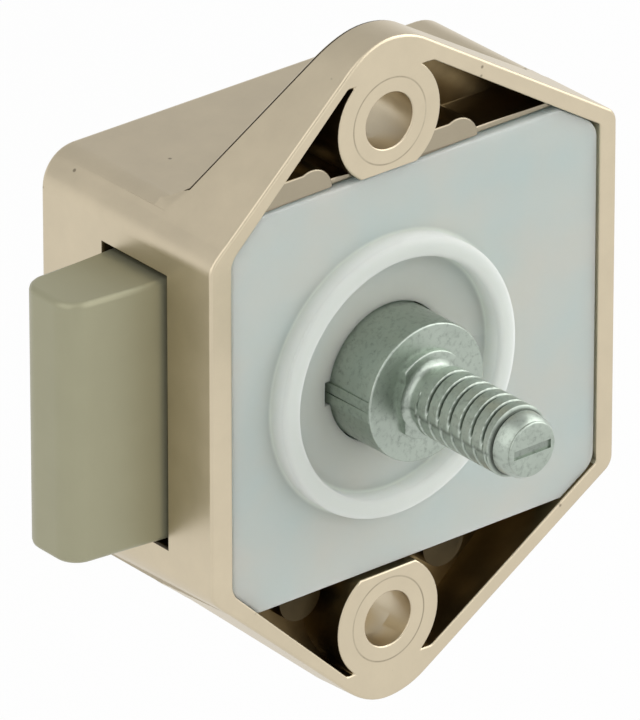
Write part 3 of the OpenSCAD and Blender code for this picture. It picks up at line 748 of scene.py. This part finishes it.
class LOCK_OT_plunger(bpy.types.Operator):
    """Plunger turned from its profile, with the cast thread of its stud"""
    bl_idname = "lock.plunger"
    bl_label = "Plunger"

    steps = 144
    rings_per_turn = 28

    def execute(self, context):
        sizes, colours = context.scene.lock_sizes, context.scene.lock_colours
        body = lathe(self.profile(sizes.thread_pitch), self.steps)
        close_with_slot(body, STUD_END, STUD_R*1.24, SLOT_W, SLOT_DEPTH)
        piece = piece_from("plunger_casting", merge_shells(body, self.step(), *self.ribs(), *self.lugs()))
        self.cut_thread(piece, sizes, bare_zinc(colours.zinc, "bare die-cast zinc"))
        # The slot's floor gets a darker copy of the zinc, a painted shade in the slot
        piece.data.materials.append(bare_zinc(shade(colours.zinc, 0.7), "die-cast zinc with painted shade in the slot"))
        for face in piece.data.polygons:
            in_slot = abs(face.center.y/MM - STUD_END - SLOT_DEPTH) < 0.01
            face.material_index = int(in_slot)
        smooth_by_angle(piece, 40)
        finish_piece(piece, "plunger", "raw_zinc", "plunger")
        return {"FINISHED"}

    def profile(self, pitch):
        """Points (radius, y) from the spring's floor, round the barrel and collar, to the rim of the stud's end."""
        soft = 0.15
        rings = round(self.rings_per_turn*THREAD_LENGTH/pitch)
        points = [(0, SPRING_FLOOR), (SPRING_BORE_R, SPRING_FLOOR), (SPRING_BORE_R, BARREL_END),
                  (BARREL_R, BARREL_END), (BARREL_R, COLLAR_BACK), (COLLAR_R - COLLAR_EDGE, COLLAR_BACK),
                  (COLLAR_R, COLLAR_BACK - COLLAR_EDGE)]
        points += arc((COLLAR_R - COLLAR_EDGE, COLLAR_FRONT + COLLAR_EDGE), COLLAR_EDGE, 0, -90)
        points += [(ROOT_R, COLLAR_FRONT), (ROOT_R, STEP_FRONT)]
        points += arc((ROOT_R, STEP_FRONT - ROOT_R + NECK_R), ROOT_R - NECK_R, 90, 180)
        points += [(NECK_R, THREAD_BACK + COLLAR_EDGE), (STUD_R - 0.12, THREAD_BACK + 0.04)]
        points += [(STUD_R, THREAD_BACK + (THREAD_FRONT - THREAD_BACK)*i/rings) for i in range(rings + 1)]
        points += [(LAND_R - 0.1, SHOULDER_Y), (LAND_R, SHOULDER_Y - 0.12), (LAND_R - 0.1, LAND_END)]
        points += arc((TIP_R - soft, STUD_END + soft), soft, 30, -90, 4)
        return points

    def step(self):
        """Low step on the collar's face, with a flat on each side."""
        soft = 0.12
        shell = lathe([(0, COLLAR_FRONT + 0.5), (STEP_R, COLLAR_FRONT + 0.5),
                       *arc((STEP_R - soft, STEP_FRONT + soft), soft, 0, -90, 3), (0, STEP_FRONT)], self.steps)
        for vert in shell.verts:
            vert.co.x = max(-STEP_FLAT_X*MM, min(STEP_FLAT_X*MM, vert.co.x))
        bmesh.ops.remove_doubles(shell, verts=shell.verts, dist=0.001*MM)
        return shell

    def ribs(self):
        """Key ribs along the collar's sides, which rise from its front and are split by a thin line."""
        split = 0.06
        places = ((COLLAR_FRONT + 0.15, COLLAR_R + 0.02), (0.3, RIB_X - 0.3), (COLLAR_BACK - COLLAR_EDGE, RIB_X))
        for side in (-1, 1):
            for low, high in ((split, RIB_HZ), (-RIB_HZ, -split)):
                shell = bmesh.new()
                rows = [[shell.verts.new((side*x*MM, y*MM, z*MM))
                         for x, z in ((COLLAR_R - 1, low), (top, low), (top, high), (COLLAR_R - 1, high))]
                        for y, top in places]
                for first, second in zip(rows, rows[1:]):
                    for i in range(4):
                        shell.faces.new((first[i - 1], first[i], second[i], second[i - 1]))
                shell.faces.new(rows[0])
                shell.faces.new(rows[-1])
                bmesh.ops.recalc_face_normals(shell, faces=shell.faces)
                yield shell

    def lugs(self):
        """Round lugs above and below the barrel, which hold the drive pins."""
        soft = 0.2
        for side in (-1, 1):
            shell = lathe([(0, SPRING_BORE_R + 0.2), (LUG_R, SPRING_BORE_R + 0.2),
                           *arc((LUG_R - soft, LUG_HZ - soft), soft, 0, 90, 2), (0, LUG_HZ)], 48)
            shell.transform(Matrix.Translation((0, PIN_Y*MM, 0)) @ Matrix.Rotation(side*math.pi/2, 4, "X"))
            yield shell

    def cut_thread(self, piece, sizes, material):
        """Sinks the thread's groove into the stud; it fades where the two halves of the mould meet."""
        inputs = {"Pitch": sizes.thread_pitch*MM, "Depth": sizes.thread_depth*MM,
                  "Back": (THREAD_BACK - 0.15)*MM, "Front": (THREAD_FRONT + 0.05)*MM,
                  "Core": (NECK_R + 0.1)*MM, "Outside": (STUD_R + 0.1)*MM, "Mismatch": 0.3,
                  "Material": material}
        tree, add = new_tree("cast thread", inputs, on_mesh=True)
        given = add("NodeGroupInput").outputs
        place = add("GeometryNodeInputPosition").outputs[0]
        axes = add("ShaderNodeSeparateXYZ", {0: place}).outputs
        across = add("ShaderNodeCombineXYZ", {"X": axes["X"], "Z": axes["Z"]}).outputs[0]
        radius = add("ShaderNodeVectorMath", {0: across}, operation="LENGTH").outputs["Value"]
        angle = add("ShaderNodeMath", {0: axes["Z"], 1: axes["X"]}, operation="ARCTAN2").outputs[0]
        turn = add("ShaderNodeMath", {0: angle, 1: 2*math.pi}, operation="DIVIDE").outputs[0]
        # The lower half of the mould sits a little out of step
        lower = add("ShaderNodeMath", {0: axes["Z"], 1: 0.0}, operation="LESS_THAN").outputs[0]
        turn = add("ShaderNodeMath", {
            0: lower, 1: given["Mismatch"], 2: turn}, operation="MULTIPLY_ADD").outputs[0]
        along = add("ShaderNodeMath", {0: given["Back"], 1: axes["Y"]}, operation="SUBTRACT").outputs[0]
        along = add("ShaderNodeMath", {0: along, 1: given["Pitch"]}, operation="DIVIDE").outputs[0]
        along = add("ShaderNodeMath", {0: along, 1: turn}, operation="SUBTRACT").outputs[0]
        away = add("ShaderNodeMath", {0: along}, operation="FRACT").outputs[0]
        away = add("ShaderNodeMath", {0: away, 1: 0.5}, operation="SUBTRACT").outputs[0]
        away = add("ShaderNodeMath", {0: away}, operation="ABSOLUTE").outputs[0]
        groove = add("ShaderNodeMapRange", {
            "Value": away, "From Min": 0.01, "From Max": 0.14, "To Min": 1.0, "To Max": 0.0}).outputs["Result"]
        seam = add("ShaderNodeMath", {0: angle}, operation="SINE").outputs[0]
        seam = add("ShaderNodeMath", {0: seam}, operation="ABSOLUTE").outputs[0]
        halves = add("ShaderNodeMapRange", {
            "Value": seam, "From Min": 0.06, "From Max": 0.26, "To Min": 0.15, "To Max": 1.0},
            interpolation_type="SMOOTHSTEP").outputs["Result"]
        behind = add("ShaderNodeMath", {0: axes["Y"], 1: given["Back"]}, operation="LESS_THAN").outputs[0]
        before = add("ShaderNodeMath", {0: axes["Y"], 1: given["Front"]}, operation="GREATER_THAN").outputs[0]
        beyond = add("ShaderNodeMath", {0: radius, 1: given["Core"]}, operation="GREATER_THAN").outputs[0]
        within = add("ShaderNodeMath", {0: radius, 1: given["Outside"]}, operation="LESS_THAN").outputs[0]
        sink = given["Depth"]
        for part in (groove, halves, behind, before, beyond, within):
            sink = add("ShaderNodeMath", {0: sink, 1: part}, operation="MULTIPLY").outputs[0]
        sink = add("ShaderNodeMath", {0: sink, 1: -1.0}, operation="MULTIPLY").outputs[0]
        outward = add("ShaderNodeVectorMath", {0: across}, operation="NORMALIZE").outputs[0]
        offset = add("ShaderNodeVectorMath", {0: outward, "Scale": sink}, operation="SCALE").outputs[0]
        moved = add("GeometryNodeSetPosition", {"Geometry": given["Geometry"], "Offset": offset})
        run_tree(piece, tree, given, inputs, moved.outputs[0])


class LOCK_OT_inner_works(bpy.types.Operator):
    """Wound spring behind the plunger, with the drive pins and the catch wire"""
    bl_idname = "lock.inner_works"
    bl_label = "Inner works"

    turns = 11

    def execute(self, context):
        wire = drawn_wire()
        for name, material in (("catch_wire", wire), ("drive_pins", ground_steel())):
            node = frame["nodes"][name]
            if not node.material_slots:
                raise RuntimeError(f"{name} has no material slot")
            for slot in node.material_slots:
                slot.link = "OBJECT"
                slot.material = material
        piece = new_piece("plunger_spring_wire", bpy.data.meshes.new("plunger_spring_wire"))
        self.wind(piece, wire)
        smooth_by_angle(piece, 60)
        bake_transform(piece)
        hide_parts("plunger_spring")
        return {"FINISHED"}

    def wind(self, piece, material):
        """Winds the spring as a spiral whose end turns lie closed."""
        wire_r = 0.35
        coil_r = SPRING_HIGH.x - wire_r
        inputs = {"Turns": self.turns, "Coil Radius": coil_r*MM, "Wire Radius": wire_r*MM,
                  "Front": (SPRING_LOW.y + wire_r)*MM, "Back": (SPRING_HIGH.y - wire_r)*MM,
                  "Closed Rise": 0.742*MM, "Material": material}
        tree, add = new_tree("wound spring", inputs, on_mesh=False)
        given = add("NodeGroupInput").outputs
        spiral = add("GeometryNodeCurveSpiral", {
            "Resolution": 32, "Rotations": given["Turns"], "Start Radius": given["Coil Radius"],
            "End Radius": given["Coil Radius"], "Height": 1.0}).outputs[0]
        axes = add("ShaderNodeSeparateXYZ", {
            0: add("GeometryNodeInputPosition").outputs[0]}).outputs
        turn = add("ShaderNodeMath", {0: axes["Z"], 1: given["Turns"]}, operation="MULTIPLY").outputs[0]
        last = add("ShaderNodeMath", {0: given["Turns"], 1: 1.0}, operation="SUBTRACT").outputs[0]
        rise = given["Closed Rise"]
        first_rise = add("ShaderNodeMath", {0: given["Front"], 1: rise}, operation="ADD").outputs[0]
        last_rise = add("ShaderNodeMath", {0: given["Back"], 1: rise}, operation="SUBTRACT").outputs[0]
        open_place = add("ShaderNodeMapRange", {
            "Value": turn, "From Min": 1.0, "From Max": last, "To Min": first_rise, "To Max": last_rise}).outputs["Result"]
        first_turn = add("ShaderNodeMath", {0: turn, 1: 1.0}, operation="MINIMUM").outputs[0]
        first_turn = add("ShaderNodeMath", {0: first_turn, 1: 1.0}, operation="SUBTRACT").outputs[0]
        last_turn = add("ShaderNodeMath", {0: turn, 1: last}, operation="SUBTRACT").outputs[0]
        last_turn = add("ShaderNodeMath", {0: last_turn, 1: 0.0}, operation="MAXIMUM").outputs[0]
        ends = add("ShaderNodeMath", {0: first_turn, 1: last_turn}, operation="ADD").outputs[0]
        height = add("ShaderNodeMath", {0: ends, 1: rise, 2: open_place}, operation="MULTIPLY_ADD").outputs[0]
        spot = add("ShaderNodeCombineXYZ", {"X": axes["X"], "Y": height, "Z": axes["Y"]}).outputs[0]
        wound = add("GeometryNodeSetPosition", {"Geometry": spiral, "Position": spot}).outputs[0]
        section = add("GeometryNodeCurvePrimitiveCircle", {"Resolution": 12, "Radius": given["Wire Radius"]})
        tube = add("GeometryNodeCurveToMesh", {
            "Curve": wound, "Profile Curve": section.outputs[0], "Fill Caps": True}).outputs[0]
        run_tree(piece, tree, given, inputs, tube)


# Stage

VIEW_AZIMUTH = -39.5
VIEW_ELEVATION = 26.56
PIXELS_PER_MM = 12.055
ORIGIN_PIXEL = (389.2, 372.4)
PICTURE = (640, 720)
FOCAL_PIXELS = 12000
SENSOR = 36


class LOCK_OT_stage(bpy.types.Operator):
    """Pale floor, soft studio light and a camera at the viewing angle"""
    bl_idname = "lock.stage"
    bl_label = "Stage"

    def execute(self, context):
        scene = context.scene
        scene.view_settings.view_transform = "Standard"
        self.camera(scene)
        self.world(scene)
        self.floor()
        self.lamps(scene)
        return {"FINISHED"}

    def camera(self, scene):
        """A long lens at the viewing angle, aimed so that the origin falls on its place in the picture."""
        a, e = math.radians(VIEW_AZIMUTH), math.radians(VIEW_ELEVATION)
        back = Vector((math.sin(a)*math.cos(e), -math.cos(a)*math.cos(e), math.sin(e)))
        turn = (-back).to_track_quat("-Z", "Y")
        right, up = turn @ Vector((1, 0, 0)), turn @ Vector((0, 1, 0))
        shift_right = (PICTURE[0]/2 - ORIGIN_PIXEL[0])/PIXELS_PER_MM*MM
        shift_up = (ORIGIN_PIXEL[1] - PICTURE[1]/2)/PIXELS_PER_MM*MM
        data = bpy.data.cameras.new("camera")
        data.sensor_width = SENSOR
        data.lens = FOCAL_PIXELS*SENSOR/max(PICTURE)
        data.clip_end = 10
        camera = bpy.data.objects.new("camera", data)
        camera.location = back*(FOCAL_PIXELS/PIXELS_PER_MM*MM) + right*shift_right + up*shift_up
        camera.rotation_mode = "QUATERNION"
        camera.rotation_quaternion = turn
        scene.collection.objects.link(camera)
        scene.camera = camera

    def seen(self, add):
        """Whether the camera sees this, straight, in a reflection or through glass."""
        path = add("ShaderNodeLightPath").outputs
        seen = add("ShaderNodeMath", {
            0: path["Is Camera Ray"], 1: path["Is Glossy Ray"]}, operation="MAXIMUM").outputs[0]
        return add("ShaderNodeMath", {
            0: seen, 1: path["Is Transmission Ray"]}, operation="MAXIMUM").outputs[0]

    def world(self, scene):
        """A white horizon that fades to a grey ceiling, which metal shows; it lights at a plain level."""
        world = bpy.data.worlds.new("pale studio")
        scene.world = world
        world.use_nodes = True
        world.node_tree.nodes.clear()
        add = partial(add_node, world.node_tree)
        seen = self.seen(add)
        way = add("ShaderNodeTexCoord").outputs["Generated"]
        height = add("ShaderNodeSeparateXYZ", {0: way}).outputs["Z"]
        shown = add("ShaderNodeMapRange", {
            "Value": height, "From Min": 0.02, "From Max": 0.3, "To Min": 1.0, "To Max": 0.65}).outputs["Result"]
        level = add("ShaderNodeMapRange", {"Value": seen, "To Min": 0.45, "To Max": shown}).outputs["Result"]
        sky = add("ShaderNodeBackground", {"Color": (1, 1, 1, 1), "Strength": level})
        add("ShaderNodeOutputWorld", {"Surface": sky.outputs[0]})

    def floor(self):
        """Plain paper well below the part, white wherever it is seen."""
        half = 1.5
        drop = 0.09
        z = CAD_BOX[0].z - drop
        mesh = bpy.data.meshes.new("floor")
        mesh.from_pydata([(-half, -half, z), (half, -half, z), (half, half, z), (-half, half, z)], [], [(0, 1, 2, 3)])
        floor = new_piece("floor", mesh)
        material, add = new_material("white paper floor")
        seen = self.seen(add)
        share = add("ShaderNodeMath", {0: seen, 1: 0.9}, operation="MULTIPLY").outputs[0]
        paper = add("ShaderNodeBsdfDiffuse", {"Color": linear("#F4F4F3")})
        white = add("ShaderNodeEmission", {"Color": (1, 1, 1, 1), "Strength": 1.0})
        both = add("ShaderNodeMixShader", {0: share, 1: paper.outputs[0], 2: white.outputs[0]})
        add("ShaderNodeOutputMaterial", {"Surface": both.outputs[0]})
        mesh.materials.append(material)

    def lamps(self, scene):
        """Square soft lamps: name, place, target, side in metres and power in watts."""
        lamps = (
            ("key softbox", (0.55, -0.62, 0.5), (0, 0, 0), 1.3, 6.6),
            ("fill softbox", (-0.75, -0.1, 0.6), (0, 0, 0), 1.2, 4.2),
            ("background softbox", (0.8, -0.05, 0.45), (0.16, 0.19, -0.12), 0.8, 3.0),
        )
        for name, place, target, size, power in lamps:
            data = bpy.data.lights.new(name, "AREA")
            data.shape = "SQUARE"
            data.size = size
            data.energy = power
            lamp = bpy.data.objects.new(name, data)
            lamp.location = place
            lamp.rotation_mode = "QUATERNION"
            lamp.rotation_quaternion = (Vector(target) - Vector(place)).to_track_quat("-Z", "Y")
            scene.collection.objects.link(lamp)


# Add-on

class LOCK_PT_panel(bpy.types.Panel):
    """Lists the lock's settings and pieces"""
    bl_idname = "LOCK_PT_panel"
    bl_label = "Cabinet lock"
    bl_space_type = "VIEW_3D"
    bl_region_type = "UI"
    bl_category = "Lock"

    def draw(self, context):
        for group in (context.scene.lock_sizes, context.scene.lock_colours):
            for name in group.__annotations__:
                self.layout.prop(group, name)
        for operator in OPERATORS:
            self.layout.operator(operator.bl_idname)


GROUPS = (LockSizes, LockColours)
OPERATORS = (LOCK_OT_case, LOCK_OT_cover_plate, LOCK_OT_bolt, LOCK_OT_plunger, LOCK_OT_inner_works, LOCK_OT_stage)


def register():
    for item in (*GROUPS, *OPERATORS, LOCK_PT_panel):
        bpy.utils.register_class(item)
    bpy.types.Scene.lock_sizes = bpy.props.PointerProperty(type=LockSizes)
    bpy.types.Scene.lock_colours = bpy.props.PointerProperty(type=LockColours)


def unregister():
    del bpy.types.Scene.lock_sizes
    del bpy.types.Scene.lock_colours
    for item in reversed((*GROUPS, *OPERATORS, LOCK_PT_panel)):
        bpy.utils.unregister_class(item)


def main():
    register()
    bpy.ops.lock.case()
    bpy.ops.lock.cover_plate()
    bpy.ops.lock.bolt()
    bpy.ops.lock.plunger()
    bpy.ops.lock.inner_works()
    bpy.ops.lock.stage()


if __name__ == "__main__":
    main()
